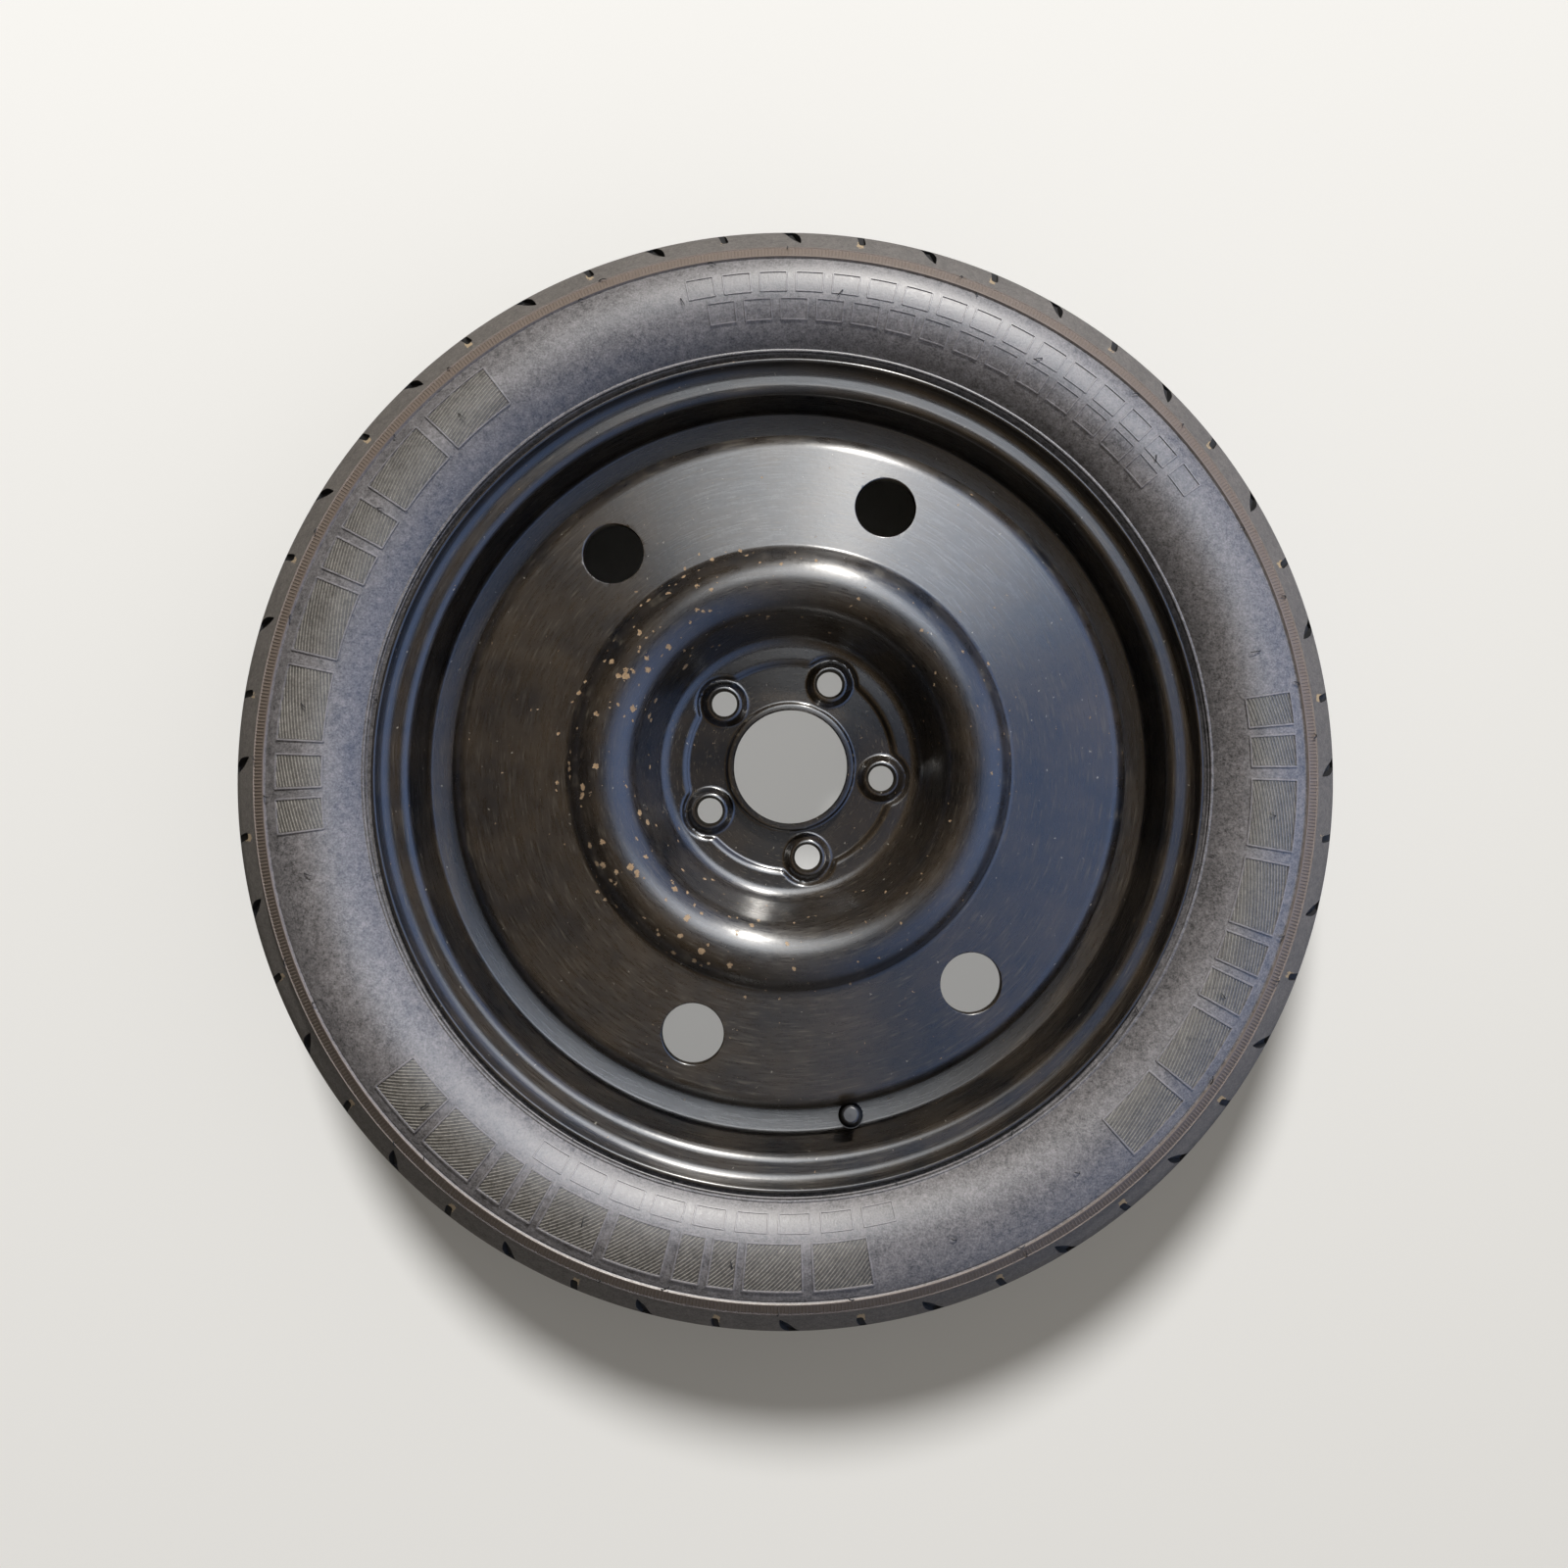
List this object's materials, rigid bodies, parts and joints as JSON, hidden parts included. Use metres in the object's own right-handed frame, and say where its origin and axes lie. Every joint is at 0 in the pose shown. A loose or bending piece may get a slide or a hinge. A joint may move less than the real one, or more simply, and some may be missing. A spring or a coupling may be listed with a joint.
{
  "type": "spare tyre",
  "caption": "Temporary spare tyre on a pressed-steel wheel, with hub bore, bolt holes, vents and a snap-in valve, lying outboard face up.",
  "frame": {"origin": "the wheel's centre: its axis at the rim's middle plane, from which the wheel's offset is measured", "axes": "+Z along the wheel's axis, out of the outboard face; +X and +Y in the rim's middle plane, with the valve at 280 degrees from +X towards +Y"},
  "size_m": [0.6882, 0.6882, 0.1648],
  "materials": {
    "tyre_rubber": "moulded rubber, satin sidewall",
    "black_paint": "black dip coat, semi-gloss and scuffed",
    "valve_rubber": "moulded rubber",
    "brass": "turned brass",
    "seal_rubber": "moulded seal",
    "core_seal_red": "moulded seal",
    "spring_steel": "drawn wire",
    "cap_plastic": "moulded nylon"
  },
  "bodies": {
    "wheel": {"tyre": "tyre_rubber", "rim": "black_paint", "disc": "black_paint", "disc_welds": "black_paint", "valve_body": "valve_rubber", "valve_stem": "brass", "core_body": "brass", "core_seal": "core_seal_red", "core_spring": "spring_steel"},
    "pin": {"core_pin": "brass", "core_cup": "brass", "core_seat": "seal_rubber"},
    "cap": {"valve_cap": "cap_plastic", "cap_washer": "seal_rubber"}
  },
  "joints": [
    {"name": "pin_press", "type": "slide", "parent": "wheel", "child": "pin", "axis": [0.0405, -0.2299, -0.9724], "range_m": [0, 0.0012], "stiffness_N_per_m": 1500, "springref_m": -0.002, "deforming": ["core_spring"]},
    {"name": "cap_lift", "type": "slide", "parent": "wheel", "child": "cap", "axis": [-0.0405, 0.2299, 0.9724], "range_m": [0, 0.02]}
  ]
}
